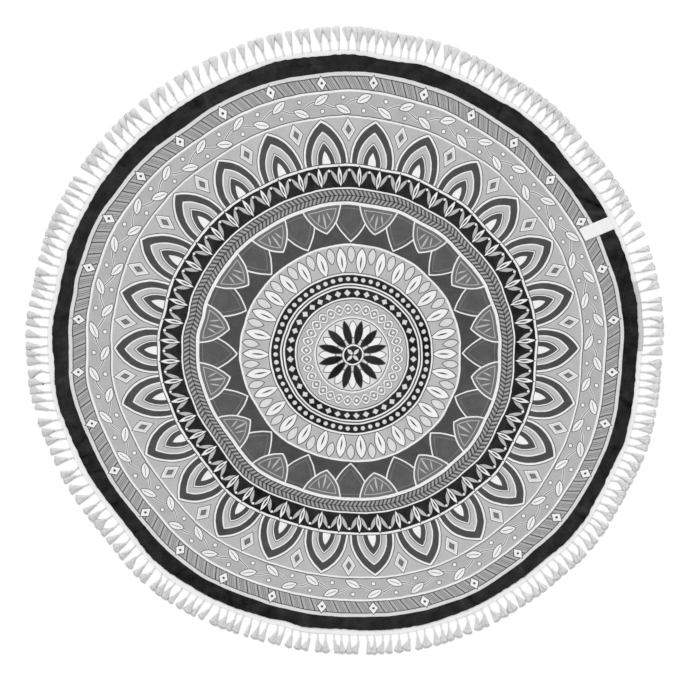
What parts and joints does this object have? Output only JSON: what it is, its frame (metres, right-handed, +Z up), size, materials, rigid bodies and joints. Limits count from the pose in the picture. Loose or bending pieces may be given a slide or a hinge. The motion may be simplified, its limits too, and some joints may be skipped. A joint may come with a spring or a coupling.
{
  "type": "round beach towel",
  "caption": "Round velour beach towel laid flat, with a ringed print, a dark border and a white tape with a fringe of short knotted tassels sewn round its edge.",
  "frame": {"origin": "on the surface that the towel lies on, under the middle of its round cloth", "axes": "+Z up out of the printed face, +Y towards the top of the picture, +X towards its right-hand side"},
  "size_m": [1.508, 1.4832, 0.0077],
  "materials": {
    "printed_velour": "matte sheared cotton pile, printed in black, greys and white, with white looped terry underneath",
    "cotton_yarn": "matte white cotton tape and soft twisted yarn",
    "woven_label": "smooth, slightly lustrous woven ribbon, bare"
  },
  "bodies": {
    "root": {"towel_cloth": "printed_velour", "tassel_trim": "cotton_yarn", "side_label": "woven_label"}
  },
  "joints": []
}
